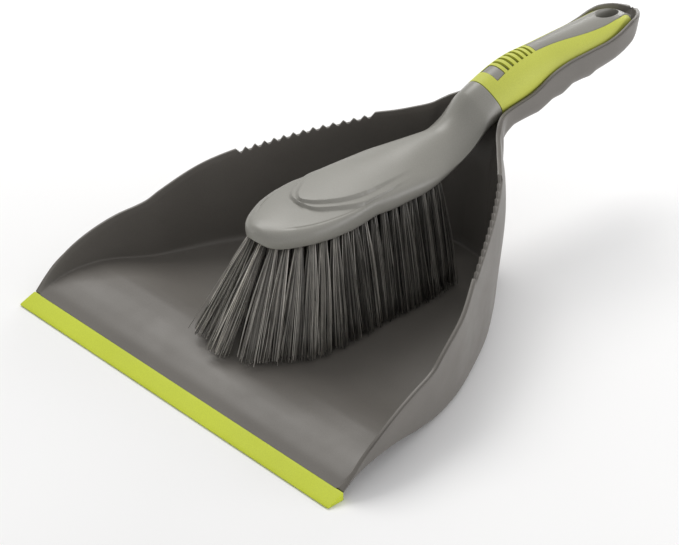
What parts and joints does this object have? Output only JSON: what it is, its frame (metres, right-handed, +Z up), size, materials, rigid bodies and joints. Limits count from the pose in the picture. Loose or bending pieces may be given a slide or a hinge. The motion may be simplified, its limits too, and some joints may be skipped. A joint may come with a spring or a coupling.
{
  "type": "dustpan and brush",
  "caption": "Open scoop with a soft lip, comb-edged walls and a channel handle, holding a curved hand brush with splayed bristle tufts.",
  "frame": {"origin": "middle of the footprint, on the floor the pan stands on", "axes": "+X to the right across the pan, +Y from the lip towards the end of the handle, +Z up"},
  "size_m": [0.225, 0.325, 0.1],
  "materials": {
    "pan_plastic": "satin moulded polypropylene, warm grey",
    "lip_rubber": "soft lime-green lip, satin",
    "brush_plastic": "satin moulded polypropylene, light warm grey",
    "grip_rubber": "soft lime-green grip, matt",
    "bristle": "grey synthetic filaments"
  },
  "bodies": {
    "pan": {"pan_body": "pan_plastic", "pan_lip": "lip_rubber"},
    "brush": {"brush_body": "brush_plastic", "brush_grip": "grip_rubber", "tuft_nose": "bristle", "tuft_left_01": "bristle", "tuft_left_02": "bristle", "tuft_left_03": "bristle", "tuft_left_04": "bristle", "tuft_left_05": "bristle", "tuft_left_06": "bristle", "tuft_left_07": "bristle", "tuft_left_08": "bristle", "tuft_left_09": "bristle", "tuft_left_10": "bristle", "tuft_left_11": "bristle", "tuft_left_12": "bristle", "tuft_left_13": "bristle", "tuft_left_14": "bristle", "tuft_left_15": "bristle", "tuft_left_16": "bristle", "tuft_left_17": "bristle", "tuft_right_01": "bristle", "tuft_right_02": "bristle", "tuft_right_03": "bristle", "tuft_right_04": "bristle", "tuft_right_05": "bristle", "tuft_right_06": "bristle", "tuft_right_07": "bristle", "tuft_right_08": "bristle", "tuft_right_09": "bristle", "tuft_right_10": "bristle", "tuft_right_11": "bristle", "tuft_right_12": "bristle", "tuft_right_13": "bristle", "tuft_right_14": "bristle", "tuft_right_15": "bristle", "tuft_right_16": "bristle", "tuft_right_17": "bristle", "tuft_inner_01": "bristle", "tuft_inner_02": "bristle", "tuft_inner_03": "bristle", "tuft_inner_04": "bristle", "tuft_inner_05": "bristle", "tuft_inner_06": "bristle", "tuft_inner_07": "bristle", "tuft_inner_08": "bristle", "tuft_inner_09": "bristle", "tuft_inner_10": "bristle", "tuft_inner_11": "bristle", "tuft_inner_12": "bristle", "tuft_inner_13": "bristle", "tuft_inner_14": "bristle", "tuft_inner_15": "bristle"}
  },
  "joints": [
    {"name": "brush_lift", "type": "slide", "parent": "pan", "child": "brush", "axis": [0, 0, 1], "range_m": [0, 0.12]}
  ]
}
